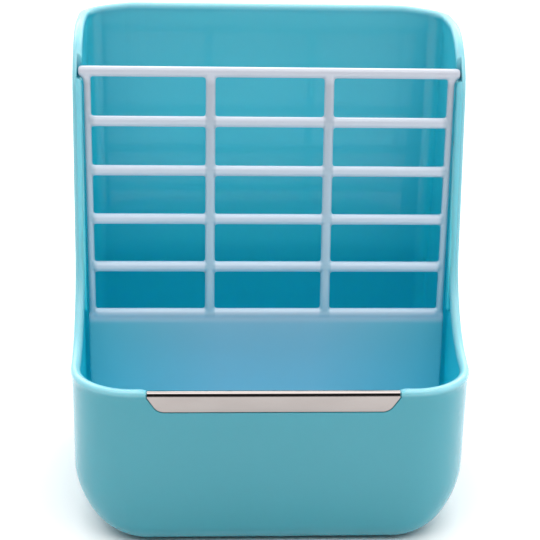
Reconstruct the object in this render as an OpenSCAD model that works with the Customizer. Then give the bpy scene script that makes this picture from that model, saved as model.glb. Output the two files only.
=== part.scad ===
// Hay feeder box for rabbits and guinea pigs: an open moulded box with a
// hay chamber behind a lift-out grid and a food trough in front of it.
// Frame: X to the right, Y to the back, Z up, origin at the centre of the base.

/* [Box] */
// Width across the trough lip
box_w = 165.6; // [140:0.1:200]
// Depth from the front of the lip to the back of the rim
box_d = 130; // [120:1:160]
// Height of the rim's centre line along the back
back_h = 200.2; // [190:0.1:230]
// Drop of the rim from the middle of the back to the sides
rim_drop = 2.9; // [1:0.1:6]
// Half width of the level part of the back rim
rim_flat = 58; // [30:1:60]
// Height of the rim's centre line at the trough lip
lip_h = 68.9; // [60:0.1:80]
// Wall and floor thickness
wall = 3.1; // [2.4:0.1:3.4]
// Diameter of the full-round rim
rim_dia = 4.1; // [3.6:0.1:5]
// Draft of the side walls in degrees
side_draft = 0.2; // [0:0.05:1]
// Draft of the front wall in degrees
front_draft = 0.8; // [0:0.1:3]
// Plan radius of the two front corners
front_r = 26.5; // [18:0.5:30]
// Plan radius of the two back corners
back_r = 10; // [6:0.5:14]
// Radius from the side walls into the base
base_side_r = 27.5; // [20:0.5:34]
// Radius from the front wall into the base
base_front_r = 9; // [7:0.5:18]
// Radius from the back wall into the base
base_back_r = 7; // [5:1:10]
// Plan radius left at the front corners of the flat base
base_corner_r = 6; // [4:0.5:10]

/* [Side edge] */
// Lean of the straight front edge from the vertical in degrees
edge_lean = 9; // [4:0.5:12]
// Radius where the top of a side turns down into its front edge
edge_top_r = 30; // [20:1:34]
// Radius of the sweep from the front edge out to the lip
edge_sweep_r = 46; // [36:1:50]
// Distance from the back at which the straight front edge meets lip height
edge_foot = 68.9; // [64:0.1:76]

/* [Grid insert] */
// Distance of the top bar's axis behind the middle of the box
bar_y = 13.8; // [13:0.1:16]
// Height of the top bar's axis
bar_z = 182; // [178:0.1:184]
// Lean of the grid in degrees, foot forward
grid_lean = 7.5; // [4:0.25:9]
// Diameter of the cross bars
bar_dia = 4.6; // [3.6:0.1:5]
// Diameter of the middle uprights
upright_dia = 4.3; // [3.6:0.1:5]
// Diameter of the outer uprights
edge_bar_dia = 3.1; // [2.4:0.1:3.6]
// Spacing of the cross bars along the grid
bar_pitch = 21; // [19:0.25:22]
// Number of cross bars
bar_count = 6; // [4:1:6]
// Distance between the middle uprights
upright_gap = 50.3; // [40:0.1:60]
// Thickness of the divider plate
plate_t = 3.8; // [2.4:0.1:4.2]
// Taper of each side of the insert in degrees
insert_taper = 0.6; // [0.3:0.1:1]
// Gap between the insert's sides and the rim beside the top bar
insert_gap = 0.4; // [0.3:0.1:1.2]
// Outer skin of the side wall left beside each top bar end
notch_skin = 2; // [1.6:0.1:2.4]
// Radius of the shoulder at the inner end of each notch
shoulder_r = 2; // [1:0.1:2.4]

/* [Bite guard] */
// Length of the steel strip along the lip
guard_w = 101.4; // [80:0.5:108]
// Height of its front face from its lower edge to the lip's centre line
guard_leg = 7.25; // [5:0.25:9]
// Sheet thickness
guard_t = 0.5; // [0.4:0.05:0.6]
// How much shorter each end is at the lower edge
guard_cut = 4.8; // [3:0.1:6]
// Height of the bend over the lip
guard_bend = 2.2; // [2:0.1:4]

/* [Cage fixings] */
// Distance between the two bolts
bolt_gap = 117; // [90:1:125]
// Height of the bolts at rest
bolt_z = 184; // [170:1:186]
// Shank diameter
bolt_dia = 5; // [4:0.5:6]
// Length of the shank behind the head
bolt_len = 21; // [18:0.5:26]
// Width of the square bolt head
head_w = 9; // [8:0.5:11]
// Thickness of the bolt head
head_t = 3.2; // [2.6:0.1:4]
// Length of each back rail
rail_len = 52; // [40:1:60]
// Space kept for the cage wire between rail and washer
wire_gap = 3; // [2:0.25:3.75]
// Diameter of the clamp washer
washer_dia = 20; // [16:1:24]
// Thickness of the clamp washer
washer_t = 1.8; // [1.4:0.1:2.4]
// Span of the wing nut across its wings
wing_span = 26; // [22:1:32]
// Thickness of the wings
wing_t = 2.2; // [1.8:0.1:3]

/* [Fits] */
// Gap round the insert where it slides or rests
slide_gap = 0.3; // [0.25:0.05:0.4]
// Gap between the steel strip and the lip
strip_gap = 0.1; // [0.05:0.05:0.15]
// Radial clearance of the nut and washer on the bolt
bore_gap = 0.06; // [0.03:0.01:0.08]

/* [Hidden] */
$fn = 64;

aqua = [0.36, 0.72, 0.78];
white = [0.93, 0.93, 0.97];
steel = [0.80, 0.79, 0.77];
zinc = [0.68, 0.69, 0.71];

// Rim and wall
rim_r = rim_dia / 2;
half_wall = wall / 2;
// Depth below the rim's centre line at which the wall starts to swell to it
rim_root = 1.7 * rim_r;
rim_wrap = 35;
mid_w = box_w / 2 - rim_r;
mid_front = -box_d / 2 + rim_r;
mid_back = box_d / 2 - rim_r;
mid_front_r = front_r - rim_r;
mid_back_r = back_r - rim_r;
side_h = back_h - rim_drop;
back_face = mid_back + half_wall;

// Side edge in the YZ plane: top line, top arc, straight lean, sweep, lip line
edge_turn = 90 - edge_lean;
foot_y = mid_back - edge_foot;
crest_y = foot_y + (side_h - lip_h) * tan(edge_lean);
top_run = edge_top_r * tan(edge_turn / 2);
sweep_run = edge_sweep_r * tan(edge_turn / 2);
top_arc_y = crest_y + top_run;
sweep_y = foot_y - sweep_run;

// Points per arc of the body's surface
corner_steps = 7;
base_steps = 7;
top_steps = 7;
sweep_steps = 11;
rim_steps = 11;
back_steps = 5;

// Half width of the middle of the side wall at height z
function half_w(z) = mid_w + (z - lip_h) * tan(side_draft);
// Front wall's middle at height z; it stands straight above the lip
function front_y(z) = mid_front + max(0, lip_h - z) * tan(front_draft);
// Inset of a base fillet of radius r at height z, d outside the wall's middle
function fillet(r, z, d) =
    let (s = r - half_wall + d, h = r - z)
    h <= 0 ? 0 : s - sqrt(max(0, s * s - h * h));
// Height of the rim above the sweep and the corner for a place y
function sweep_z(y) =
    y <= sweep_y ? lip_h
                 : lip_h + edge_sweep_r - sqrt(pow(edge_sweep_r, 2) - pow(y - sweep_y, 2));
function smooth(t) = let (u = min(1, max(0, t))) u * u * (3 - 2 * u);

// Stations round one half of the plan, from the back's middle to the front's
// middle. Each is [zone, place, rim height]; zones are 0 back, 1 back corner,
// 2 side, 3 front corner, 4 front. A side's place is its own y.
back_run = half_w(side_h) - mid_back_r;
corner_run = mid_back_r * PI / 2;
fade = back_run - rim_flat + corner_run;
function back_rim(s) = back_h - rim_drop * smooth((s - rim_flat) / fade);
back_zone = [for (i = [0:back_steps])
    let (f = i == 0 ? 0 : (rim_flat + (i - 1) * (back_run - rim_flat) / back_steps) / back_run)
    [0, f, back_rim(f * back_run)]];
back_corner_zone = [for (i = [0:corner_steps])
    let (a = 90 * i / corner_steps) [1, a, back_rim(back_run + corner_run * i / corner_steps)]];
top_zone = [for (i = [0:top_steps])
    let (a = edge_turn * i / top_steps)
    [2, top_arc_y - edge_top_r * sin(a), side_h - edge_top_r * (1 - cos(a))]];
sweep_zone = [for (i = [0:sweep_steps])
    let (a = edge_turn * (1 - i / sweep_steps), y = sweep_y + edge_sweep_r * sin(a))
    if (y > front_y(lip_h) + mid_front_r + 0.5) [2, y, sweep_z(y)]];
front_corner_zone = [for (i = [0:corner_steps + 1])
    let (a = 90 * i / (corner_steps + 1),
         y = front_y(lip_h) + mid_front_r * (1 - sin(a)))
    [3, a, sweep_z(y)]];
front_zone = [[4, 0.5, lip_h], [4, 0, lip_h]];
half_stations = concat(back_zone, back_corner_zone, top_zone, sweep_zone,
                       front_corner_zone, front_zone);

// Plan point and outward normal of a station at height z, d outside the
// wall's middle
function plan_point(st, z, d) =
    let (inset = fillet(base_side_r, z, d),
         a = half_w(z) + d - inset,
         f = front_y(z) - d + fillet(base_front_r, z, d),
         b = mid_back + d - fillet(base_back_r, z, d),
         rb = mid_back_r + d,
         shrink = inset / (base_side_r - half_wall + d),
         rf = mid_front_r + d - shrink * (mid_front_r - base_corner_r + half_wall),
         share = (mid_back - mid_back_r - st[1])
                 / (mid_back - mid_back_r - mid_front - mid_front_r))
    st[0] == 0 ? [st[1] * (a - rb), b, z] :
    st[0] == 1 ? [a - rb + rb * sin(st[1]), b - rb + rb * cos(st[1]), z] :
    st[0] == 2 ? [a, b - rb + share * (f + rf - b + rb), z] :
    st[0] == 3 ? [a - rf + rf * cos(st[1]), f + rf - rf * sin(st[1]), z] :
                 [st[1] * (a - rf), f, z];
function plan_normal(st) =
    st[0] == 0 ? [0, 1, 0] :
    st[0] == 1 ? [sin(st[1]), cos(st[1]), 0] :
    st[0] == 2 ? [1, 0, 0] :
    st[0] == 3 ? [cos(st[1]), -sin(st[1]), 0] :
                 [0, -1, 0];

function unit(v) = v / norm(v);
// One rim ring at station i: rim_steps + 1 points from the outer wall, over
// the rim, to the inner wall
function rim_arc(i) =
    let (st = half_stations,
         n = len(st),
         c = plan_point(st[i], st[i][2], 0),
         p = i == 0 ? plan_point(st[1], st[1][2], 0) : plan_point(st[i - 1], st[i - 1][2], 0),
         q = i == n - 1 ? plan_point(st[n - 2], st[n - 2][2], 0)
                        : plan_point(st[i + 1], st[i + 1][2], 0),
         along = i == 0 ? [1, 0, 0] : i == n - 1 ? [-1, 0, 0] : unit(q - p),
         out = plan_normal(st[i]),
         up = unit(cross(along, out)))
    concat([c + half_wall * out - rim_root * up],
           [for (k = [0:rim_steps])
               let (a = -rim_wrap + (180 + 2 * rim_wrap) * k / rim_steps)
               c + rim_r * (cos(a) * out + sin(a) * up)],
           [c - half_wall * out - rim_root * up]);

// Heights of the rings of the base fillet, outside and inside
function base_z(k, d) =
    base_side_r - (base_side_r - half_wall + d) * cos(90 * k / base_steps);

// A column of surface points at station i, from the base up the outer wall,
// over the rim and down the inner wall to the floor
function column(i) =
    concat([for (k = [0:base_steps]) plan_point(half_stations[i], base_z(k, half_wall), half_wall)],
           rim_arc(i),
           [for (k = [base_steps:-1:0])
               plan_point(half_stations[i], base_z(k, -half_wall), -half_wall)]);

// Closed skin through a loop of columns, closed at both ends by a centre point
module skin(columns, low, high) {
    n = len(columns);
    m = len(columns[0]);
    points = concat([for (c = columns) each c], [low, high]);
    sides = [for (i = [0:n - 1], k = [0:m - 2])
        let (j = (i + 1) % n)
        each [[i * m + k, j * m + k, i * m + k + 1], [j * m + k, j * m + k + 1, i * m + k + 1]]];
    ends = [for (i = [0:n - 1])
        let (j = (i + 1) % n)
        each [[n * m, j * m, i * m], [n * m + 1, i * m + m - 1, j * m + m - 1]]];
    polyhedron(points, concat(sides, ends), convexity = 8);
}

module shell() {
    n = len(half_stations);
    right = [for (i = [0:n - 1]) column(i)];
    left = [for (i = [n - 2:-1:1]) [for (p = right[i]) [-p[0], p[1], p[2]]]];
    mid = (mid_front + mid_back) / 2;
    skin(concat(right, left), [0, mid, 0], [0, mid, wall]);
}

// Places the children in the grid's own plane: X across, Z up along the grid,
// origin on the top bar's axis
module on_grid() {
    translate([0, bar_y, bar_z]) rotate([-grid_lean, 0, 0]) children();
}

module both_sides() {
    children();
    mirror([1, 0, 0]) children();
}

// Grid insert, in the grid's plane; drop is the distance below the top bar
bar_r = bar_dia / 2;
last_bar = (bar_count - 1) * bar_pitch;
foot_drop = (bar_z - wall - slide_gap) / cos(grid_lean) - plate_t / 2 * tan(grid_lean);
rim_inner = half_w(bar_z) - rim_r;
insert_top_w = rim_inner - insert_gap;
function insert_w(drop) = insert_top_w - drop * tan(insert_taper);
pin_tip = half_w(bar_z) + rim_r - notch_skin - slide_gap - 0.1;
plate_corner_r = base_side_r - wall;
plate_step = 0.2;
bar_inset = 1.6;
pin_round = 1.3;
bend_r = shoulder_r + slide_gap + 0.05 + edge_bar_dia / 2;
bend_start = 22;

// Notch for one end of the top bar: a shelf with a round shoulder, an upright
// face behind, open to the front and the top
notch_deep = bar_r + slide_gap;
shoulder_x = rim_inner + shoulder_r;
shoulder_z = -notch_deep - shoulder_r;
module notch() {
    tall = 2 * edge_top_r;
    wide = 3 * rim_r;
    x1 = pin_tip + slide_gap + 0.1;
    translate([0, bar_y + notch_deep, bar_z]) rotate([90, 0, 0])
        linear_extrude(3 * rim_dia) difference() {
            translate([x1 - wide, shoulder_z]) square([wide, tall]);
            translate([shoulder_x, shoulder_z - wide]) square([wide, wide + shoulder_r]);
            translate([shoulder_x, shoulder_z]) circle(r = shoulder_r);
        }
}

// Guide land on each side wall: keeps the insert from moving sideways, from
// the notch down to the last bar, and widens to the front like the side
land_top = 1;
land_foot = 7;
land_back = 2;
land_low = last_bar - 3;
module guide_land() {
    x1 = half_w(lip_h);
    high = notch_deep;
    gap = slide_gap + plate_step;
    intersection() {
        translate([0, land_back, 0]) rotate([90, 0, 0]) linear_extrude(land_foot + land_back)
            polygon([[insert_w(high) + gap, -high], [x1, -high],
                     [x1, -land_low], [insert_w(land_low) + gap, -land_low]]);
        rotate([90, 0, 90]) linear_extrude(box_w)
            polygon([[-land_top, 0], [-land_top, -high], [-land_foot, -land_low - 1],
                     [land_back - 0.2, -land_low - 1], [land_back - 0.2, 0]]);
    }
}

// Two low ribs on the floor between which the divider plate stands. The front
// one is low enough for the plate to rise past it
floor_rib_w = 60;
floor_rib_t = 2;
front_rib_h = 1.8;
back_rib_h = 4;
module floor_rib(side) {
    high = side > 0 ? back_rib_h : front_rib_h;
    // The plate leans into its way up by this much at the front rib
    lean = side > 0 ? 0 : front_rib_h * tan(grid_lean);
    y0 = side * (plate_t / 2 + slide_gap + lean);
    translate([-floor_rib_w / 2, side > 0 ? y0 : y0 - floor_rib_t, -foot_drop - wall / 2])
        cube([floor_rib_w, floor_rib_t, wall / 2 + high]);
}

// Lip under the steel strip: thinner and lower than the rim beside it
seat_back = mid_front + half_wall;
seat_front = front_y(lip_h) - half_wall + guard_t + strip_gap;
seat_r = (seat_back - seat_front) / 2;
seat_mid = (seat_back + seat_front) / 2;
strip_dip = 0.75;
seat_top = lip_h + rim_r - strip_dip - guard_t - strip_gap;
seat_z = seat_top - guard_bend;
guard_low = lip_h - guard_leg;
guard_back_leg = 1.4;
guard_corner = 3;
guard_slope = 24;

// Corner p between the directions u and v, moved out so that both its sides
// lie g further out
function turn(u, v) = acos(unit(u) * unit(v));
function grown(p, u, v, g) = p - unit(unit(u) + unit(v)) * g / sin(turn(u, v) / 2);

// Outline of the strip seen from the front, grown by g. Its lower corners are
// round and its ends lean
module strip_outline(g) {
    w = guard_w / 2;
    bend = [w, lip_h - 1];
    low = [w - guard_cut, guard_low];
    t = turn(bend - low, [-1, 0]);
    mid = low + unit(unit(bend - low) + [-1, 0]) * guard_corner / sin(t / 2);
    arc = [for (i = [0:8]) let (a = (180 - t) * (1 - i / 8) - 90)
        mid + (guard_corner + g) * [cos(a), sin(a)]];
    right = concat([[w + g, lip_h + 2 * rim_dia], grown(bend, [0, 1], low - bend, g)], arc);
    left = [for (i = [len(right) - 1:-1:0]) [-right[i][0], right[i][1]]];
    polygon(concat(right, left));
}

// Section of the lip's core in the YZ plane, grown by g
module core_section(g) {
    translate([seat_mid, seat_z]) scale([seat_r + g, guard_bend + g]) circle(r = 1);
    translate([seat_mid - seat_r - g, guard_low - 2 * guard_leg])
        square([2 * (seat_r + g), seat_z - guard_low + 2 * guard_leg]);
}

// Turns a YZ section into a bar along X of length w, centred
module along_x(w) {
    translate([-w / 2, 0, 0]) rotate([90, 0, 90]) linear_extrude(w) children();
}

module guard_recess() {
    difference() {
        translate([0, seat_mid + rim_dia, 0]) rotate([90, 0, 0])
            linear_extrude(2 * rim_dia) strip_outline(strip_gap * 3);
        along_x(guard_w * 2) core_section(0);
    }
    // The lip slopes down to the strip at both ends
    both_sides() translate([guard_w / 2, mid_front - rim_dia, seat_top])
        rotate([0, -guard_slope, 0]) cube([2 * rim_dia, 2 * rim_dia, rim_dia]);
}

// Rails on the back: a T slot, closed at its upper end and open below, in
// which the bolt head slides
slot_floor = 1;
slot_d = head_t + 2 * slide_gap;
slot_w = head_w + 2 * slide_gap;
neck_w = bolt_dia + 2 * slide_gap;
rail_lip = 2.2;
rail_side = 2.6;
rail_w = slot_w + 2 * rail_side;
rail_back = back_face + slot_floor + slot_d + rail_lip;
rail_r = 3;
rail_roof = 4;
slot_top = bolt_z + head_w / 2 + slide_gap;
rail_top = slot_top + rail_roof;

module rounded_plate(w, h, t, r) {
    translate([-w / 2 + r, 0, 0]) cube([w - 2 * r, h, t]);
    translate([-w / 2, r, 0]) cube([w, h - 2 * r, t]);
    for (x = [-w / 2 + r, w / 2 - r], y = [r, h - r])
        translate([x, y, 0]) cylinder(r = r, h = t);
}

module rail() {
    translate([bolt_gap / 2, rail_back, rail_top - rail_len]) rotate([90, 0, 0])
        rounded_plate(rail_w, rail_len, rail_back - back_face + half_wall, rail_r);
}

module rail_slot() {
    low = rail_top - rail_len - 1;
    neck_y = back_face + slot_floor;
    translate([bolt_gap / 2 - slot_w / 2, neck_y, low])
        cube([slot_w, slot_d, slot_top - low]);
    translate([bolt_gap / 2 - neck_w / 2, neck_y, low])
        cube([neck_w, slot_d + 2 * rail_lip, bolt_z - low]);
    // The neck ends in a half round in which the shank hangs
    translate([bolt_gap / 2, neck_y, bolt_z]) rotate([-90, 0, 0])
        cylinder(d = neck_w, h = slot_d + 2 * rail_lip);
}

module body() {
    color(aqua) difference() {
        union() {
            shell();
            both_sides() {
                rail();
                on_grid() guide_land();
            }
            on_grid() {
                floor_rib(1);
                floor_rib(-1);
            }
        }
        both_sides() {
            notch();
            rail_slot();
        }
        guard_recess();
    }
}

// Divider plate with its lower corners rounded like the base
module plate_outline() {
    w0 = insert_w(last_bar) + plate_step;
    w1 = insert_w(foot_drop) + plate_step;
    r = plate_corner_r;
    arc = [for (i = [0:12]) let (a = 90 * i / 12)
        [w1 - r + r * cos(a), -foot_drop + r - r * sin(a)]];
    right = concat([[w0, -last_bar]], arc);
    left = [for (i = [len(right) - 1:-1:0]) [-right[i][0], right[i][1]]];
    polygon(concat(right, left));
}

// Bar along X, w long over its ends, whose ends are rounded with radius e
module round_bar(w, r, e) {
    rotate([0, 90, 0]) rotate_extrude() intersection() {
        union() {
            translate([0, -w / 2 + e]) square([r, w - 2 * e]);
            if (e < r) translate([0, -w / 2]) square([r - e, w]);
            for (y = [-w / 2 + e, w / 2 - e]) translate([r - e, y]) circle(r = e);
        }
        translate([0, -w / 2]) square([2 * r, w]);
    }
}

module grid_insert() {
    color(white) on_grid() {
        // Top bar, whose ends are the pins in the notches
        round_bar(2 * pin_tip, bar_r, pin_round);
        // Other cross bars, ending inside the outer uprights
        for (i = [1:bar_count - 1])
            translate([0, 0, -i * bar_pitch])
                round_bar(2 * (insert_w(i * bar_pitch) - bar_inset), bar_r, bar_r);
        // Middle uprights
        for (x = [-1, 1]) translate([x * upright_gap / 2, 0, -last_bar])
            cylinder(d = upright_dia, h = last_bar);
        both_sides() {
            // Outer upright, leaning with the taper
            translate([insert_top_w - edge_bar_dia / 2, 0, 0]) rotate([0, 180 + insert_taper, 0])
                cylinder(d = edge_bar_dia, h = last_bar / cos(insert_taper) + 1);
            // Bend from the top bar's end down to the outer upright, round the
            // notch's shoulder
            translate([shoulder_x, 0, shoulder_z]) rotate([90, 0, 0])
                rotate_extrude(angle = 90 - bend_start, start = 90 + bend_start) translate([bend_r, 0])
                    circle(d = edge_bar_dia - 0.2);
        }
        translate([0, plate_t / 2, 0]) rotate([90, 0, 0]) linear_extrude(plate_t) plate_outline();
    }
}

module bite_guard() {
    color(steel) intersection() {
        along_x(guard_w) difference() {
            intersection() {
                core_section(strip_gap + guard_t);
                translate([seat_mid - rim_dia, guard_low])
                    square([2 * rim_dia, lip_h + rim_dia - guard_low]);
            }
            core_section(strip_gap);
            translate([seat_mid, guard_low - 1])
                square([rim_dia, seat_z - guard_back_leg - guard_low + 1]);
        }
        translate([0, seat_mid + rim_dia, 0]) rotate([90, 0, 0])
            linear_extrude(2 * rim_dia) strip_outline(0);
    }
}

// Cage fixings, placed by side: -1 left, 1 right
head_y = back_face + slot_floor + slide_gap;
shank_y = head_y + head_t;
washer_y = rail_back + wire_gap;
nut_y = washer_y + washer_t + slide_gap;
nut_h = 6;
nut_r = 4.6;
bolt_r = bolt_dia / 2;

// Places the children with their Z axis along the bolt, pointing back
module at_bolt(side, y) {
    translate([side * bolt_gap / 2, y, bolt_z]) rotate([-90, 0, 0]) children();
}

module bolt(side) {
    color(zinc) at_bolt(side, head_y) {
        translate([-head_w / 2, -head_w / 2, 0]) cube([head_w, head_w, head_t]);
        cylinder(r = bolt_r, h = head_t + bolt_len - 0.6);
        translate([0, 0, head_t + bolt_len - 0.6])
            cylinder(r1 = bolt_r, r2 = bolt_r - 0.6, h = 0.6);
    }
}

module washer(side) {
    color(zinc) at_bolt(side, washer_y) difference() {
        cylinder(d = washer_dia, h = washer_t);
        translate([0, 0, -1]) cylinder(r = bolt_r + bore_gap, h = washer_t + 2);
    }
}

// One wing seen along its flat side: a leaf that rises from the hub
module wing_outline() {
    tip_r = 3.2;
    tip_x = wing_span / 2 - tip_r;
    tip_y = nut_h + 2.6;
    translate([tip_x, tip_y]) circle(r = tip_r);
    polygon([[0, 0.8], [nut_r + 1.2, 0.8], [tip_x + tip_r * 0.94, tip_y - tip_r * 0.34],
             [tip_x - tip_r * 0.5, tip_y + tip_r * 0.866], [nut_r * 0.6, nut_h - 0.6], [0, nut_h - 0.6]]);
}

module wing_nut(side) {
    color(zinc) at_bolt(side, nut_y) difference() {
        union() {
            cylinder(r1 = nut_r + 0.6, r2 = nut_r - 0.6, h = nut_h);
            for (a = [0, 180]) rotate([0, 0, a]) translate([0, wing_t / 2, 0])
                rotate([90, 0, 0]) linear_extrude(wing_t) wing_outline();
        }
        translate([0, 0, -1]) cylinder(r = bolt_r + bore_gap, h = 2 * nut_h + 2);
    }
}

body();
grid_insert();
bite_guard();
bolt(-1);  // bolt_left
bolt(1);  // bolt_right
washer(-1);  // washer_left
washer(1);  // washer_right
wing_nut(-1);  // wing_nut_left
wing_nut(1);  // wing_nut_right
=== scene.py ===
import bpy
import bmesh
import math
from mathutils import Matrix, Vector
from mathutils.kdtree import KDTree


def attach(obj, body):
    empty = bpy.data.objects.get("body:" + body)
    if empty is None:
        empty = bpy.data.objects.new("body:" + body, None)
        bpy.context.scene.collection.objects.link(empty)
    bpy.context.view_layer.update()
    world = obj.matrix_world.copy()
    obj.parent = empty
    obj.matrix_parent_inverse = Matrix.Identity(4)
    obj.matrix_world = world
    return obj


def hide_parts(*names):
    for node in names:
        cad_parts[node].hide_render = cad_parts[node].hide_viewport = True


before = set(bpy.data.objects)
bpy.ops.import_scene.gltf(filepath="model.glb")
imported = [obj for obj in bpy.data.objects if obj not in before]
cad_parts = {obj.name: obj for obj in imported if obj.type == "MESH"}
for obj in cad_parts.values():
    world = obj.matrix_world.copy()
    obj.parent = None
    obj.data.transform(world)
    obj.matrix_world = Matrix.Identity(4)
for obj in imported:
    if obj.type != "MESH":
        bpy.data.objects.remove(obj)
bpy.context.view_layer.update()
MM = 0.001

# ---------------------------------------------------------------- sizes, in mm
# The values of the part's source, so that the finer meshes lie on its solids
BOX_W, BOX_D, BACK_H, RIM_DROP, RIM_FLAT = 165.6, 130.0, 200.2, 2.9, 58.0
LIP_H, WALL, RIM_R = 68.9, 3.1, 2.05
SIDE_DRAFT, FRONT_DRAFT = math.tan(math.radians(0.2)), math.tan(math.radians(0.8))
FRONT_R, BACK_R = 26.5 - RIM_R, 10.0 - RIM_R
BASE_SIDE, BASE_FRONT, BASE_BACK, BASE_CORNER = 27.5, 9.0, 7.0, 6.0
LEAN, TOP_R, SWEEP_R, FOOT = 9.0, 30.0, 46.0, 68.9
BAR_Y, BAR_Z, GRID_LEAN, BAR_R = 13.8, 182.0, 7.5, 2.3
PLATE_T, LAST_BAR, INSERT_GAP, INSERT_TAPER = 3.8, 5 * 21.0, 0.4, math.tan(math.radians(0.6))
SLIDE_GAP, STRIP_GAP, STRIP_T = 0.3, 0.1, 0.5
NOTCH_SKIN, SHOULDER_R, PIN_GAP = 2.0, 2.0, 0.1
GUARD_W, GUARD_LEG, GUARD_BEND, GUARD_BACK_LEG = 101.4, 7.25, 2.2, 1.4
STRIP_DIP, GUARD_SLOPE = 0.75, 24
BOLT_X, BOLT_Z, BOLT_R, BOLT_LEN, HEAD_W, HEAD_T = 58.5, 184.0, 2.5, 21.0, 9.0, 3.2
SLOT_FLOOR, RAIL_LIP, RAIL_SIDE, RAIL_ROOF, RAIL_LEN, RAIL_R = 1, 2.2, 2.6, 4, 52.0, 3.0
# These three differ from the part's source: the strip's ends are steeper, its lower
# corners rounder and the recess round it 0.1 mm wider
GUARD_CUT, GUARD_CORNER, RECESS_GAP = 4.2, 5.0, 4 * STRIP_GAP

HALF = WALL / 2
MID_W, MID_BACK, MID_FRONT = BOX_W / 2 - RIM_R, BOX_D / 2 - RIM_R, -BOX_D / 2 + RIM_R
SIDE_H = BACK_H - RIM_DROP
ROOT = 1.7 * RIM_R
# The finer rim stays a hair inside the solid's facets
EDGE_R = RIM_R - 0.045
# Degrees by which the rim's round goes on below its middle
TUCK = 20
TURN = math.radians(90 - LEAN)
FOOT_Y = MID_BACK - FOOT
CREST_Y = FOOT_Y + (SIDE_H - LIP_H) * math.tan(math.radians(LEAN))
TOP_ARC_Y = CREST_Y + TOP_R * math.tan(TURN / 2)
SWEEP_Y = FOOT_Y - SWEEP_R * math.tan(TURN / 2)
# How many times denser the box is than in the part's source
DENSITY = 3


# ------------------------------------------------------- the box's plain forms
def half_w(z):
    return MID_W + (z - LIP_H) * SIDE_DRAFT


def front_y(z):
    return MID_FRONT + max(0.0, LIP_H - z) * FRONT_DRAFT


def fillet(r, z, d):
    """How far a base fillet draws the wall's surface in, at d from the wall's middle."""
    s, h = r - HALF + d, r - z
    return 0.0 if h <= 0 else s - math.sqrt(max(0.0, s * s - h * h))


def sweep_z(y):
    """Height of the side's edge where it sweeps forward to the lip."""
    if y <= SWEEP_Y:
        return LIP_H
    return LIP_H + SWEEP_R - math.sqrt(SWEEP_R ** 2 - (y - SWEEP_Y) ** 2)


def smooth(t):
    t = min(1.0, max(0.0, t))
    return t * t * (3 - 2 * t)


def stations(k):
    """Places round the right half of the plan, from the back's middle to the front's.

    Each is its zone, its place in the zone and the height of the rim there.
    """
    back_run = half_w(SIDE_H) - BACK_R
    corner_run = BACK_R * math.pi / 2
    fade = back_run - RIM_FLAT + corner_run
    lip_y = front_y(LIP_H)

    def rim(s):
        return BACK_H - RIM_DROP * smooth((s - RIM_FLAT) / fade)

    # The back, with one more place close to its corner
    n = 4 * k
    out = [(0, i / n, rim(back_run * i / n)) for i in range(n)]
    out += [(0, t, rim(back_run * t)) for t in (0.985, 1.0)]
    n = 6 * k
    out += [(1, math.radians(90 * i / n), rim(back_run + corner_run * i / n))
            for i in range(1, n + 1)]
    # The side: level, over the upper round, down the leaning edge, along the sweep
    start = MID_BACK - BACK_R
    out += [(2, start + (TOP_ARC_Y - start) * i / 4, SIDE_H) for i in (1, 2, 3)]
    for i in range(n + 1):
        a = TURN * i / n
        out.append((2, TOP_ARC_Y - TOP_R * math.sin(a), SIDE_H - TOP_R * (1 - math.cos(a))))
    y0, z0 = out[-1][1:]
    y1 = SWEEP_Y + SWEEP_R * math.sin(TURN)
    z1 = sweep_z(y1)
    n = 5 * k
    out += [(2, y0 + (y1 - y0) * i / n, z0 + (z1 - z0) * i / n) for i in range(1, n)]
    n = 11 * k
    for i in range(n + 1):
        y = SWEEP_Y + SWEEP_R * math.sin(TURN * (1 - i / n))
        if y > lip_y + FRONT_R + 0.3:
            out.append((2, y, sweep_z(y)))
    n = 9 * k
    for i in range(n + 1):
        a = math.radians(90 * i / n)
        out.append((3, a, sweep_z(lip_y + FRONT_R * (1 - math.sin(a)))))
    out += [(4, 1 - i / (5 * k), LIP_H) for i in range(1, 5 * k + 1)]
    return out


def plan(st, z, d):
    """A station's point at height z, at d outside the wall's middle."""
    zone, t, _ = st
    inset = fillet(BASE_SIDE, z, d)
    a = half_w(z) + d - inset
    f = front_y(z) - d + fillet(BASE_FRONT, z, d)
    b = MID_BACK + d - fillet(BASE_BACK, z, d)
    rb = BACK_R + d
    rf = FRONT_R + d - inset / (BASE_SIDE - HALF + d) * (FRONT_R - BASE_CORNER + HALF)
    if zone == 0:
        return Vector((t * (a - rb), b, z))
    if zone == 1:
        return Vector((a - rb + rb * math.sin(t), b - rb + rb * math.cos(t), z))
    if zone == 2:
        part = (MID_BACK - BACK_R - t) / (MID_BACK - BACK_R - MID_FRONT - FRONT_R)
        return Vector((a, b - rb + part * (f + rf - b + rb), z))
    if zone == 3:
        return Vector((a - rf + rf * math.cos(t), f + rf - rf * math.sin(t), z))
    return Vector((t * (a - rf), f, z))


def outward(st):
    zone, t, _ = st
    return [Vector((0, 1, 0)), Vector((math.sin(t), math.cos(t), 0)), Vector((1, 0, 0)),
            Vector((math.cos(t), -math.sin(t), 0)), Vector((0, -1, 0))][zone]


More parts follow.
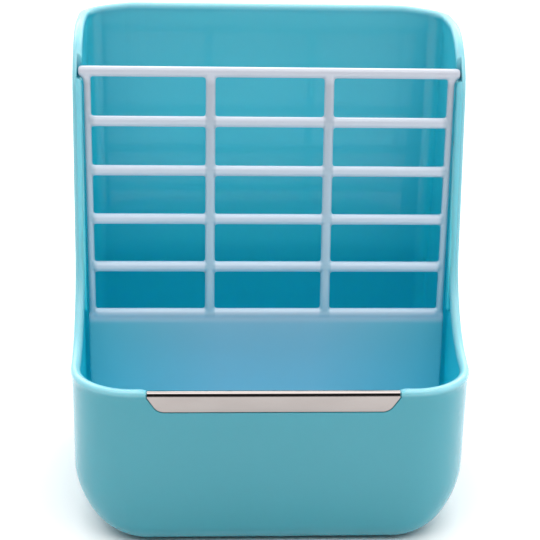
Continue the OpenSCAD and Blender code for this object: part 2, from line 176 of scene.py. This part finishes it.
def column(sts, i, k):
    """Surface points at a station, up the outside, over the rim and down the inside."""
    st = sts[i]
    c = plan(st, st[2], 0)
    if i == 0:
        along = Vector((1, 0, 0))
    elif i == len(sts) - 1:
        along = Vector((-1, 0, 0))
    else:
        after, before = sts[i + 1], sts[i - 1]
        along = (plan(after, after[2], 0) - plan(before, before[2], 0)).normalized()
    out = outward(st)
    up = along.cross(out).normalized()
    base, wall, swell, over = 7 * k, 6 * k, 2 * k + 1, 6 * k
    cos_t, sin_t = math.cos(math.radians(TUCK)), math.sin(math.radians(TUCK))
    faces = []
    for side in (1, -1):
        d = side * HALF
        s = BASE_SIDE - HALF + d
        points = [plan(st, BASE_SIDE - s * math.cos(math.radians(90 * j / base)), d)
                  for j in range(base + 1)]
        foot, top = points[-1], c + d * out - 1.25 * ROOT * up
        points += [foot.lerp(top, j / wall) for j in range(1, wall + 1)]
        # The wall swells into the rim on a soft curve
        p0, p3 = top, c + EDGE_R * (side * cos_t * out - sin_t * up)
        p1, p2 = p0 + 1.6 * up, p3 - 0.9 * (side * sin_t * out + cos_t * up)
        for j in range(1, swell + 1):
            t = j / swell
            points.append((1 - t) ** 3 * p0 + 3 * t * (1 - t) ** 2 * p1
                          + 3 * t * t * (1 - t) * p2 + t ** 3 * p3)
        faces.append(points)
    angles = [math.radians(-TUCK + (180 + 2 * TUCK) * j / over) for j in range(1, over)]
    crown = [c + EDGE_R * (math.cos(a) * out + math.sin(a) * up) for a in angles]
    return faces[0] + crown + faces[1][::-1]


# ------------------------------------------------------------ making of meshes
def new_object(name, verts, faces, smooth_faces=True):
    """An object from points in mm, with its faces turned outward."""
    mesh = bpy.data.meshes.new(name)
    mesh.from_pydata([Vector(v) * MM for v in verts], [], faces)
    bm = bmesh.new()
    bm.from_mesh(mesh)
    bmesh.ops.recalc_face_normals(bm, faces=bm.faces)
    bm.to_mesh(mesh)
    bm.free()
    obj = bpy.data.objects.new(name, mesh)
    bpy.context.scene.collection.objects.link(obj)
    if smooth_faces:
        mesh.polygons.foreach_set("use_smooth", [True] * len(mesh.polygons))
    return obj


def shell(k):
    sts = stations(k)
    right = [column(sts, i, k) for i in range(len(sts))]
    left = [[Vector((-p.x, p.y, p.z)) for p in c] for c in right[-2:0:-1]]
    cols = right + left
    n, m = len(cols), len(cols[0])
    verts = [p for c in cols for p in c]
    faces = [(i * m + j, ((i + 1) % n) * m + j, ((i + 1) % n) * m + j + 1, i * m + j + 1)
             for i in range(n) for j in range(m - 1)]
    faces.append([i * m for i in range(n)])
    faces.append([i * m + m - 1 for i in range(n)])
    return new_object("box_shell", verts, faces)


def extrude(name, near, far):
    """A prism between two outlines of as many points, in mm."""
    n = len(near)
    faces = [list(range(n)), list(range(2 * n - 1, n - 1, -1))]
    faces += [(i, (i + 1) % n, n + (i + 1) % n, n + i) for i in range(n)]
    return new_object(name, near + far, faces, False)


def prism(name, outline, y0, y1, turn=Matrix.Identity(4)):
    """A prism along Y from an outline in XZ, placed by the matrix turn."""
    near, far = ([turn @ Vector((x, y, z)) for x, z in outline] for y in (y0, y1))
    return extrude(name, near, far)


def prism_x(name, outline, x0, x1):
    """A prism along X from an outline in YZ."""
    near, far = ([Vector((x, y, z)) for y, z in outline] for x in (x0, x1))
    return extrude(name, near, far)


def box(x0, z0, x1, z1):
    return [(x0, z0), (x1, z0), (x1, z1), (x0, z1)]


def arc(cx, cy, r, a0, a1, n):
    """Points on a circle from a0 to a1 degrees."""
    angles = [math.radians(a0 + (a1 - a0) * i / n) for i in range(n + 1)]
    return [(cx + r * math.cos(a), cy + r * math.sin(a)) for a in angles]


def only(obj):
    bpy.ops.object.select_all(action="DESELECT")
    obj.select_set(True)
    bpy.context.view_layer.objects.active = obj


def apply_all(obj):
    only(obj)
    for mod in list(obj.modifiers):
        bpy.ops.object.modifier_apply(modifier=mod.name)


def boolean(obj, cutter, operation="DIFFERENCE"):
    mod = obj.modifiers.new("cut", "BOOLEAN")
    mod.operation, mod.object, mod.solver = operation, cutter, "EXACT"
    apply_all(obj)
    bpy.data.objects.remove(cutter, do_unlink=True)


def soften(obj, width, segments=3, angle=35):
    mod = obj.modifiers.new("soft", "BEVEL")
    mod.width, mod.segments, mod.limit_method = width * MM, segments, "ANGLE"
    mod.angle_limit, mod.use_clamp_overlap = math.radians(angle), True
    apply_all(obj)


def join(name, objs):
    only(objs[0])
    for o in objs:
        o.select_set(True)
    bpy.ops.object.join()
    objs[0].name = name
    return objs[0]


def smooth_by_angle(obj, degrees=40):
    only(obj)
    bpy.ops.object.shade_smooth_by_angle(angle=math.radians(degrees))


# --------------------------------------------------------------------- the box
body = shell(DENSITY)

# Notches for the ends of the grid's top bar, each with a round shoulder
notch_deep = BAR_R + SLIDE_GAP
rim_inner = half_w(BAR_Z) - RIM_R
pin_tip = half_w(BAR_Z) + RIM_R - NOTCH_SKIN - SLIDE_GAP - PIN_GAP
notch_end, shelf, above = pin_tip + SLIDE_GAP + PIN_GAP, BAR_Z - notch_deep, 60
notch = ([(notch_end, shelf)]
         + arc(rim_inner + SHOULDER_R, shelf - SHOULDER_R, SHOULDER_R, 90, 180, 10)
         + [(rim_inner - SHOULDER_R, shelf - SHOULDER_R),
            (rim_inner - SHOULDER_R, shelf + above), (notch_end, shelf + above)])
for side in (1, -1):
    boolean(body, prism("notch", [(side * x, z) for x, z in notch],
                        BAR_Y + notch_deep - 6 * RIM_R, BAR_Y + notch_deep))

# Seat of the steel strip on the lip
SEAT_BACK, SEAT_FRONT = MID_FRONT + HALF, front_y(LIP_H) - HALF + STRIP_T + STRIP_GAP
SEAT_R, SEAT_MID = (SEAT_BACK - SEAT_FRONT) / 2, (SEAT_BACK + SEAT_FRONT) / 2
SEAT_TOP = LIP_H + RIM_R - STRIP_DIP - STRIP_T - STRIP_GAP
SEAT_Z = SEAT_TOP - GUARD_BEND
GUARD_LOW = LIP_H - GUARD_LEG


def guard_outline(g):
    """The strip's outline from the front, grown by g: leaning ends and round corners."""
    bend = Vector((GUARD_W / 2, LIP_H - 1))
    low = Vector((GUARD_W / 2 - GUARD_CUT, GUARD_LOW))
    up, left, top = (bend - low).normalized(), Vector((-1, 0)), Vector((0, 1))
    t = up.angle(left)
    mid = low + (up + left).normalized() * GUARD_CORNER / math.sin(t / 2)
    corner = bend - (top - up).normalized() * g / math.sin((-up).angle(top) / 2)
    right = [(GUARD_W / 2 + g, LIP_H + 4 * RIM_R), tuple(corner)] + arc(
        mid.x, mid.y, GUARD_CORNER + g, 90 - math.degrees(t), -90, 12)
    return right + [(-x, z) for x, z in right[::-1]]


def core(g, low):
    """Section of the lip's core down to low, grown by g."""
    n = 28
    crown = [(SEAT_MID + (SEAT_R + g) * math.cos(math.pi * i / n),
              SEAT_Z + (GUARD_BEND + g) * math.sin(math.pi * i / n)) for i in range(n + 1)]
    return [(SEAT_MID + SEAT_R + g, low)] + crown + [(SEAT_MID - SEAT_R - g, low)]


recess = prism("recess", guard_outline(RECESS_GAP), SEAT_MID - 2 * RIM_R, SEAT_MID + 2 * RIM_R)
boolean(recess, prism_x("core", core(0, GUARD_LOW - 20), -GUARD_W, GUARD_W))
boolean(body, recess)
# The lip slopes down to the strip at both ends
run = 7.0
rise = run * math.tan(math.radians(GUARD_SLOPE))
wedge = [(GUARD_W / 2, SEAT_TOP), (GUARD_W / 2 + run, SEAT_TOP + rise),
         (GUARD_W / 2 - 1, SEAT_TOP + rise), (GUARD_W / 2 - 1, SEAT_TOP)]
for side in (1, -1):
    boolean(body, prism("slope", [(side * x, z) for x, z in wedge],
                        MID_FRONT - 2 * RIM_R, MID_FRONT + 2 * RIM_R))
smooth_by_angle(body, 32)

# Rails with T slots on the back. The cutters reach past the rail's open ends
BACK_FACE = MID_BACK + HALF
SLOT_D, SLOT_W = HEAD_T + 2 * SLIDE_GAP, HEAD_W + 2 * SLIDE_GAP
NECK_R = BOLT_R + SLIDE_GAP
SLOT_Y = BACK_FACE + SLOT_FLOOR
RAIL_W = SLOT_W + 2 * RAIL_SIDE
RAIL_BACK = SLOT_Y + SLOT_D + RAIL_LIP
SLOT_TOP = BOLT_Z + HEAD_W / 2 + SLIDE_GAP
RAIL_TOP = SLOT_TOP + RAIL_ROOF
rail_low, past = RAIL_TOP - RAIL_LEN, 2
parts = []
for side in (1, -1):
    cx, w = side * BOLT_X, RAIL_W / 2 - RAIL_R
    outline = []
    for x, z, a in ((w, RAIL_TOP - RAIL_R, 0), (-w, RAIL_TOP - RAIL_R, 90),
                    (-w, rail_low + RAIL_R, 180), (w, rail_low + RAIL_R, 270)):
        outline += arc(cx + x, z, RAIL_R, a, a + 90, 8)
    rail = prism("rail", outline, BACK_FACE - 0.4, RAIL_BACK)
    soften(rail, 0.5)
    slot = box(cx - SLOT_W / 2, rail_low - past, cx + SLOT_W / 2, SLOT_TOP)
    boolean(rail, prism("slot", slot, SLOT_Y, SLOT_Y + SLOT_D))
    neck = arc(cx, BOLT_Z, NECK_R, 0, 180, 16)
    neck += [(cx - NECK_R, rail_low - past), (cx + NECK_R, rail_low - past)]
    boolean(rail, prism("neck", neck, SLOT_Y + 0.5, RAIL_BACK + past))
    smooth_by_angle(rail)
    parts.append(rail)

# Guide lands on the side walls: they widen from the notch to their foot and forward
GRID = (Matrix.Translation((0, BAR_Y, BAR_Z))
        @ Matrix.Rotation(math.radians(-GRID_LEAN), 4, "X"))
LAND_ROWS, LAND_BACK, LAND_TOP, LAND_GROWTH = 8, 1.8, 1, 6
land_run = LAST_BAR - 3 - notch_deep
land_gap = SLIDE_GAP + 0.2
land_root = half_w(LIP_H) - 0.6


def guide_land(side):
    rows = []
    for i in range(LAND_ROWS + 1):
        drop = notch_deep + land_run * i / LAND_ROWS
        x = rim_inner - INSERT_GAP - drop * INSERT_TAPER + land_gap
        front = LAND_TOP + LAND_GROWTH * (drop - notch_deep + 0.5) / (land_run + 1)
        rows.append([(side * x, LAND_BACK, -drop), (side * x, -front, -drop),
                     (side * land_root, -front, -drop), (side * land_root, LAND_BACK, -drop)])
    verts = [GRID @ Vector(v) for row in rows for v in row]
    end = len(verts) - 1
    faces = [(0, 1, 2, 3), (end, end - 1, end - 2, end - 3)]
    faces += [(4 * i + j, 4 * i + 4 + j, 4 * i + 4 + (j + 1) % 4, 4 * i + (j + 1) % 4)
              for i in range(LAND_ROWS) for j in range(4)]
    land = new_object("land", verts, faces, False)
    soften(land, 0.25)
    smooth_by_angle(land)
    return land


# Two ribs on the floor, between which the divider plate stands
RIB_W, RIB_T, RIB_SUNK, RIB_FRONT_H, RIB_BACK_H = 60, 2, 1.5, 1.8, 4.0
grid_lean = math.radians(GRID_LEAN)
foot_drop = ((BAR_Z - WALL - SLIDE_GAP) / math.cos(grid_lean)
             - PLATE_T / 2 * math.tan(grid_lean))


def floor_rib(tall, y0):
    outline = box(-RIB_W / 2, -foot_drop - RIB_SUNK, RIB_W / 2, -foot_drop + tall)
    rib = prism("rib", outline, y0, y0 + RIB_T, GRID)
    soften(rib, 0.4)
    smooth_by_angle(rib)
    return rib


# The plate leans by this much on its way up past the front rib
rib_lean = RIB_FRONT_H * math.tan(grid_lean)
beside = PLATE_T / 2 + SLIDE_GAP
parts += [guide_land(1), floor_rib(RIB_BACK_H, beside),
          guide_land(-1), floor_rib(RIB_FRONT_H, -(beside + rib_lean) - RIB_T)]
body = join("feeder_box", [body] + parts)


def inside(x, y, z):
    """Whether a point lies inside the middle of the wall."""
    x = abs(x)
    inset = fillet(BASE_SIDE, z, 0)
    a = half_w(z) - inset
    f, b = front_y(z) + fillet(BASE_FRONT, z, 0), MID_BACK - fillet(BASE_BACK, z, 0)
    rf = FRONT_R - inset / (BASE_SIDE - HALF) * (FRONT_R - BASE_CORNER + HALF)
    if z < HALF or x > a or y < f or y > b:
        return False
    for r, cy, turn in ((rf, f + rf, -1), (BACK_R, b - BACK_R, 1)):
        if x > a - r and (y - cy) * turn > 0:
            return math.hypot(x - a + r, y - cy) < r
    return True


# Where the surface is rim, and where it is inside, for the plastic's shades, which carry painted
# light. The rim's share is a painted highlight: it fades over RIM_FADE from RIM_NEAR off its
# middle line, and below its upper half, which is painted as lit from above
RIM_NEAR, RIM_FADE, RIM_LEAST = 2.15, 1.6, 0.02
crest = [plan(st, st[2], 0) for st in stations(DENSITY)]
tree = KDTree(2 * len(crest))
for i, c in enumerate(crest):
    tree.insert(c, 2 * i)
    tree.insert(Vector((-c.x, c.y, c.z)), 2 * i + 1)
tree.balance()
rim_highlight_share, inner_share = [], []
for v in body.data.vertices:
    at = v.co / MM
    crest_at, _, away = tree.find(at)
    # The rim's upper half gets more of the painted highlight, as if lit from above
    upper = smooth(((at.z - crest_at.z) / RIM_R + 0.5) / 1.1)
    rim_highlight_share.append((1 - smooth((away - RIM_NEAR) / RIM_FADE))
                     * (RIM_LEAST + (1 - RIM_LEAST) * upper))
    inner_share.append(float(inside(*at)))
for label, values in (("rim", rim_highlight_share), ("inner", inner_share)):
    body.data.attributes.new(label, "FLOAT", "POINT").data.foreach_set("value", values)
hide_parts("body")
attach(body, "feeder")

# ------------------------------------------------------------- steel strip
strip = prism_x("bite_strip", core(STRIP_GAP + STRIP_T, GUARD_LOW), -GUARD_W / 2, GUARD_W / 2)
boolean(strip, prism_x("inner", core(STRIP_GAP, GUARD_LOW - 5), -GUARD_W, GUARD_W))
rear = box(SEAT_MID, GUARD_LOW - 1, SEAT_MID + 4, SEAT_Z - GUARD_BACK_LEG)
boolean(strip, prism_x("rear", rear, -GUARD_W, GUARD_W))
boolean(strip, prism("outline", guard_outline(0), SEAT_MID - 4, SEAT_MID + 4), "INTERSECT")
soften(strip, 0.09, 2, 40)
smooth_by_angle(strip)
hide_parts("bite_guard")
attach(strip, "feeder")


# ---------------------------------------------------------------- fixings
HEAD_Y = BACK_FACE + SLOT_FLOOR + SLIDE_GAP
SHANK_Y, TIP_Y = HEAD_Y + HEAD_T, HEAD_Y + HEAD_T + BOLT_LEN
# The thread: it starts softly after a plain neck and ends in a chamfer
PITCH, THREAD_DEPTH, PLAIN_NECK, CHAMFER = 0.8, 0.36, 0.6, 0.6
THREAD_SIDES, THREAD_STEP, IN_HEAD, UNDERSIZE = 40, 0.1, 0.5, 0.02


def bolt(side, name):
    """A square-headed bolt with a rolled thread."""
    cx, h = side * BOLT_X, HEAD_W / 2
    head = prism(name, box(cx - h, BOLT_Z - h, cx + h, BOLT_Z + h), HEAD_Y, SHANK_Y)
    soften(head, 0.5)
    smooth_by_angle(head)
    n = THREAD_SIDES
    rows = int(round((TIP_Y - SHANK_Y + IN_HEAD) / THREAD_STEP))
    verts = []
    for j in range(rows + 1):
        y = min(SHANK_Y - IN_HEAD + j * THREAD_STEP, TIP_Y)
        chamfer = max(0.0, y - TIP_Y + CHAMFER)
        depth = smooth(y - SHANK_Y - PLAIN_NECK) * THREAD_DEPTH
        for i in range(n):
            a = 2 * math.pi * i / n
            wave = 0.5 - 0.5 * math.cos(2 * math.pi * (y / PITCH + i / n))
            r = BOLT_R - UNDERSIZE - depth * wave - chamfer
            verts.append((cx + r * math.cos(a), y, BOLT_Z + r * math.sin(a)))
    faces = [(j * n + i, j * n + (i + 1) % n, (j + 1) * n + (i + 1) % n, (j + 1) * n + i)
             for j in range(rows) for i in range(n)]
    faces += [list(range(n)), list(range(rows * n, rows * n + n))]
    shank = new_object("shank", verts, faces)
    smooth_by_angle(shank, 50)
    return join(name, [head, shank])


def cast(node, name, voxel, rounds, keep=1.0):
    """The solid's own form with soft edges and filled corners, as a mould leaves it.

    keep is the share of the faces that stay.
    """
    obj = bpy.data.objects.new(name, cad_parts[node].data.copy())
    bpy.context.scene.collection.objects.link(obj)
    mod = obj.modifiers.new("remesh", "REMESH")
    mod.mode, mod.voxel_size = "VOXEL", voxel * MM
    mod = obj.modifiers.new("melt", "SMOOTH")
    mod.factor, mod.iterations = 0.5, rounds
    if keep < 1:
        mod = obj.modifiers.new("thin", "DECIMATE")
        mod.ratio = keep
    apply_all(obj)
    obj.data.polygons.foreach_set("use_smooth", [True] * len(obj.data.polygons))
    return obj


fixings = []
for side, word in ((-1, "left"), (1, "right")):
    screw = bolt(side, "clamp_bolt_" + word)
    nut = cast("wing_nut_" + word, "clamp_nut_" + word, 0.22, 6)
    for piece, node, rides in ((screw, "bolt_" + word, "fixing_" + word),
                               (nut, "wing_nut_" + word, "nut_" + word)):
        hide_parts(node)
        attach(piece, rides)
        fixings.append(piece)

insert = cast("grid_insert", "hay_grid", 0.45, 12, 0.22)
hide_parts("grid_insert")
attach(insert, "insert")


# ------------------------------------------------------------ node helpers
# Each adds to a node tree and returns the output of what it added.
def place(tree, kind="Object"):
    return tree.nodes.new("ShaderNodeTexCoord").outputs[kind]


def axes(tree, vector):
    node = tree.nodes.new("ShaderNodeSeparateXYZ")
    tree.links.new(vector, node.inputs["Vector"])
    return [node.outputs[name] for name in "XYZ"]


def noise(tree, vector, scale, detail=3.0, rough=0.5, stretch=None):
    if stretch:
        mapping = tree.nodes.new("ShaderNodeMapping")
        mapping.inputs["Scale"].default_value = stretch
        tree.links.new(vector, mapping.inputs["Vector"])
        vector = mapping.outputs["Vector"]
    tex = tree.nodes.new("ShaderNodeTexNoise")
    tex.inputs["Scale"].default_value = scale
    tex.inputs["Detail"].default_value = detail
    tex.inputs["Roughness"].default_value = rough
    tree.links.new(vector, tex.inputs["Vector"])
    return tex.outputs["Fac"]


def ramp(tree, fac, stops):
    node = tree.nodes.new("ShaderNodeValToRGB")
    el = node.color_ramp.elements
    while len(el) < len(stops):
        el.new(0.5)
    for e, (pos, col) in zip(el, stops):
        e.position, e.color = pos, (*col, 1)
    tree.links.new(fac, node.inputs["Fac"])
    return node.outputs["Color"]


def two_tones(tree, fac, dark, light):
    return ramp(tree, fac, [(0.3, dark), (0.7, light)])


def spread(tree, value, lo, hi, lo2=0.0, hi2=1.0, kind="LINEAR"):
    """Maps lo to hi onto lo2 to hi2, and holds the ends."""
    node = tree.nodes.new("ShaderNodeMapRange")
    node.interpolation_type = kind
    for name, v in (("From Min", lo), ("From Max", hi), ("To Min", lo2), ("To Max", hi2)):
        node.inputs[name].default_value = v
    tree.links.new(value, node.inputs["Value"])
    return node.outputs["Result"]


def calc(tree, op, *values):
    """One step of arithmetic, on outputs and numbers."""
    node = tree.nodes.new("ShaderNodeMath")
    node.operation = op
    for slot, v in zip(node.inputs, values):
        if isinstance(v, (int, float)):
            slot.default_value = v
        else:
            tree.links.new(v, slot)
    return node.outputs["Value"]


def stripe(tree, value, lo, lo2, hi2, hi):
    """1 between lo2 and hi2, falling to 0 at lo and hi."""
    return calc(tree, "MULTIPLY", spread(tree, value, lo, lo2), spread(tree, value, hi2, hi, 1, 0))


def share(tree, label):
    node = tree.nodes.new("ShaderNodeAttribute")
    node.attribute_name = label
    return node.outputs["Fac"]


def blend(tree, fac, a, b):
    node = tree.nodes.new("ShaderNodeMix")
    node.data_type = "RGBA"
    tree.links.new(fac, node.inputs["Factor"])
    tree.links.new(a, node.inputs["A"])
    tree.links.new(b, node.inputs["B"])
    return node.outputs["Result"]


def bump(tree, height, strength, distance, normal=None):
    node = tree.nodes.new("ShaderNodeBump")
    node.inputs["Strength"].default_value = strength
    node.inputs["Distance"].default_value = distance
    tree.links.new(height, node.inputs["Height"])
    if normal:
        tree.links.new(normal, node.inputs["Normal"])
    return node.outputs["Normal"]


def rounded(tree, radius):
    node = tree.nodes.new("ShaderNodeBevel")
    node.samples = 6
    node.inputs["Radius"].default_value = radius
    return node.outputs["Normal"]


# --------------------------------------------------------------- materials
def material(name):
    """A material, its node tree and its shader."""
    mat = bpy.data.materials.new(name)
    mat.use_nodes = True
    return mat, mat.node_tree, mat.node_tree.nodes["Principled BSDF"]


def finish(tree, bsdf, linked, plain):
    """Links outputs to the shader's inputs and sets the others to plain values."""
    for name, output in linked.items():
        tree.links.new(output, bsdf.inputs[name])
    for name, value in plain.items():
        bsdf.inputs[name].default_value = value


def box_plastic():
    mat, tree, bsdf = material("aqua_plastic")
    at = place(tree)
    x, _, z = axes(tree, at)
    # The outside; the inside, painted brighter and bluer lower down as painted light carried
    # through and bounced in the plastic; and the rim, painted paler as a painted highlight
    tone = noise(tree, at, 9, 2)
    col = two_tones(tree, tone, (0.032, 0.330, 0.415), (0.037, 0.343, 0.430))
    inner_glow = ramp(tree, spread(tree, z, 0.0, 0.2),
                [(0.25, (0.010, 0.740, 0.880)), (0.55, (0.014, 0.610, 0.760)),
                 (0.95, (0.040, 0.492, 0.622))])
    # The rim's paler colour is a painted highlight
    rim_highlight = two_tones(tree, tone, (0.270, 0.640, 0.725), (0.290, 0.660, 0.745))
    col = blend(tree, share(tree, "inner"), col, inner_glow)
    col = blend(tree, share(tree, "rim"), col, rim_highlight)
    worn = spread(tree, noise(tree, at, 60, 4, 0.6), 0.3, 0.7, 0.17, 0.24)
    duller = spread(tree, share(tree, "inner"), 0, 1, 0, 0.15)
    coat = spread(tree, share(tree, "inner"), 0, 1, 0.4, 0.25)
    # A slight wave, faint sink marks opposite the rails, and grain
    n = bump(tree, noise(tree, at, 22, 1), 0.25, 0.0006, rounded(tree, 0.0005))
    mark = stripe(tree, calc(tree, "ABSOLUTE", x), 0.0540, 0.0565, 0.0605, 0.0630)
    mark = calc(tree, "MULTIPLY", mark, spread(tree, z, 0.120, 0.140))
    mark = calc(tree, "MULTIPLY", mark, share(tree, "inner"))
    n = bump(tree, mark, 0.5, 0.0002, n)
    n = bump(tree, noise(tree, at, 1800, 2), 0.04, 0.0001, n)
    finish(tree, bsdf,
           {"Base Color": col, "Roughness": calc(tree, "ADD", worn, duller),
            "Coat Weight": coat, "Normal": n},
           {"Subsurface Weight": 0.3, "Subsurface Radius": (0.1, 0.9, 1.1),
            "Subsurface Scale": 0.002, "Coat Roughness": 0.05, "IOR": 1.5})
    return mat


def grid_plastic():
    mat, tree, bsdf = material("white_plastic")
    at = place(tree)
    x, _, z = axes(tree, at)
    tall, off = spread(tree, z, 0.0, 0.2), calc(tree, "ABSOLUTE", x)
    # The plate and the lower bars are painted toward the box's colour, as painted bounce light
    # from the box, and the plate more so and darker at its sides, as painted shade. The bars
    # higher up are whiter
    plate = [(0.0, (0.32, 0.63, 0.82)), (0.370, (0.32, 0.61, 0.78))]
    plate_side_shade = [(0.0, (0.16, 0.58, 0.74)), (0.370, (0.16, 0.57, 0.70))]
    bars = [(0.382, (0.54, 0.69, 0.83)), (0.9, (0.56, 0.59, 0.67))]
    upright_shade_stops = [(0.382, (0.33, 0.57, 0.72)), (0.9, (0.45, 0.48, 0.55))]
    col = blend(tree, spread(tree, off, 0.02, 0.075),
                ramp(tree, tall, plate + bars), ramp(tree, tall, plate_side_shade + bars))
    # The uprights are painted darker and cooler than the bars, as painted shade
    inner = stripe(tree, off, 0.0225, 0.0232, 0.0270, 0.0277)
    outer = spread(tree, off, 0.0735, 0.0750)
    above = stripe(tree, tall, 0.38, 0.40, 0.885, 0.897)
    upright_shade = calc(tree, "MULTIPLY", calc(tree, "MAXIMUM", inner, outer), above)
    col = blend(tree, upright_shade, col, ramp(tree, tall, plate + upright_shade_stops))
    rough = spread(tree, noise(tree, at, 90, 4, 0.6), 0.3, 0.7, 0.28, 0.38)
    n = bump(tree, noise(tree, at, 900, 3), 0.06, 0.0002, rounded(tree, 0.0007))
    finish(tree, bsdf, {"Base Color": col, "Roughness": rough, "Normal": n},
           {"IOR": 1.48, "Coat Weight": 0.5, "Coat Roughness": 0.12})
    return mat


def strip_steel():
    mat, tree, bsdf = material("polished_strip")
    at = place(tree)
    smear = noise(tree, at, 40, 3, 0.5, (1, 4, 4))
    col = two_tones(tree, smear, (0.39, 0.35, 0.335), (0.42, 0.38, 0.365))
    lines = noise(tree, at, 700, 2, 0.5, (0.04, 1, 1))
    finish(tree, bsdf,
           {"Base Color": col, "Roughness": spread(tree, lines, 0.3, 0.7, 0.05, 0.11),
            "Normal": bump(tree, lines, 0.03, 0.00005)},
           {"Metallic": 1.0, "Specular Tint": (0.60, 0.64, 0.62, 1)})
    return mat


def zinc():
    mat, tree, bsdf = material("zinc_plate")
    at = place(tree)
    tone = noise(tree, at, 150, 4)
    n = bump(tree, noise(tree, at, 1200, 3), 0.08, 0.0001, rounded(tree, 0.0003))
    finish(tree, bsdf,
           {"Base Color": two_tones(tree, tone, (0.42, 0.43, 0.45), (0.58, 0.59, 0.60)),
            "Roughness": spread(tree, tone, 0.3, 0.7, 0.26, 0.40), "Normal": n},
           {"Metallic": 1.0})
    return mat


def floor_paper():
    mat, tree, bsdf = material("floor_paper")
    tone = noise(tree, place(tree), 3, 2)
    finish(tree, bsdf,
           {"Base Color": two_tones(tree, tone, (0.90, 0.90, 0.90), (0.92, 0.92, 0.92))},
           {"Roughness": 0.9, "Specular IOR Level": 0.0})
    return mat


def dress(obj, mat):
    obj.data.materials.clear()
    obj.data.materials.append(mat)


dress(body, box_plastic())
dress(strip, strip_steel())
zinc_mat = zinc()
for piece in fixings:
    dress(piece, zinc_mat)
dress(insert, grid_plastic())
for name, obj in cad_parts.items():
    if name.startswith("washer"):
        obj.material_slots[0].material = zinc_mat

# ------------------------------------------------------- floor, light, camera
bpy.ops.mesh.primitive_plane_add(size=30, location=(0, 0, 0))
floor = bpy.context.object
floor.name = "floor"
dress(floor, floor_paper())


def light_tent():
    """Bright above and behind, with the unlit front of the room as a dark band.

    The band lies between the table's edge and the top light.
    """
    world = bpy.data.worlds.new("studio")
    bpy.context.scene.world = world
    world.use_nodes = True
    tree = world.node_tree
    _, y, z = axes(tree, place(tree, "Generated"))

    def ease(value, lo, hi, lo2=0.0, hi2=1.0):
        return spread(tree, value, lo, hi, lo2, hi2, "SMOOTHSTEP")

    def times(a, b):
        return calc(tree, "MULTIPLY", a, b)

    flat = calc(tree, "SQRT", calc(tree, "SUBTRACT", 1.0, times(z, z)))
    flat = calc(tree, "MAXIMUM", flat, 0.001)
    front = ease(calc(tree, "DIVIDE", times(y, -1.0), flat), 0.45, 0.80)
    band = times(ease(z, 0.09, 0.14), ease(z, 0.64, 0.76, 1.0, 0.0))
    level = calc(tree, "ADD", ease(z, 0.1, 0.65, 0.35, 1.1), ease(y, 0.1, 0.8, 0.0, 0.6))
    level = times(level, calc(tree, "SUBTRACT", 1.0, times(times(front, band), 0.97)))
    background = tree.nodes["Background"]
    tree.links.new(level, background.inputs["Strength"])
    background.inputs["Color"].default_value = (1, 1, 1, 1)


def softbox(name, at, size, power):
    """A soft light in W that faces the middle of the box."""
    data = bpy.data.lights.new(name, "AREA")
    data.shape, data.size, data.size_y, data.energy = "RECTANGLE", size[0], size[1], power
    obj = bpy.data.objects.new(name, data)
    obj.location = at
    toward = Vector((0, 0, 0.1)) - Vector(at)
    obj.rotation_euler = toward.to_track_quat("-Z", "Y").to_euler()
    bpy.context.scene.collection.objects.link(obj)


light_tent()
softbox("front", (0, -0.5, 1.1), (1.6, 0.7), 5)
softbox("back", (0, 0.8, 1.15), (2.4, 1.2), 16)
softbox("left", (-1.1, -0.3, 0.5), (0.8, 1.0), 0.2)
softbox("right", (1.1, -0.3, 0.5), (0.8, 1.0), 2)

# The camera that was solved on the photograph: focal length in pixels of its width,
# then the angles down, to the right and about the view
SENSOR, FOCAL_PX, PHOTO_PX = 36.0, 1443.26, 540
DOWN, YAW, ROLL = (math.radians(v) for v in (20.61, 3.26, 1.25))
cam_data = bpy.data.cameras.new("camera")
cam = bpy.data.objects.new("camera", cam_data)
bpy.context.scene.collection.objects.link(cam)
cam_data.sensor_width = SENSOR
cam_data.lens = SENSOR * FOCAL_PX / PHOTO_PX
cam_data.clip_start = 0.01
ahead = Vector((math.sin(YAW) * math.cos(DOWN), math.cos(YAW) * math.cos(DOWN), -math.sin(DOWN)))
level_right = Vector((math.cos(YAW), -math.sin(YAW), 0))
down = ahead.cross(level_right)
cam_right = math.cos(ROLL) * level_right - math.sin(ROLL) * down
cam_down = math.sin(ROLL) * level_right + math.cos(ROLL) * down
pose = Matrix((cam_right, -cam_down, -ahead)).transposed().to_4x4()
pose.translation = Vector((-0.03243, -0.58468, 0.31838))
cam.matrix_world = pose
bpy.context.scene.camera = cam
bpy.context.scene.view_settings.view_transform = "Standard"
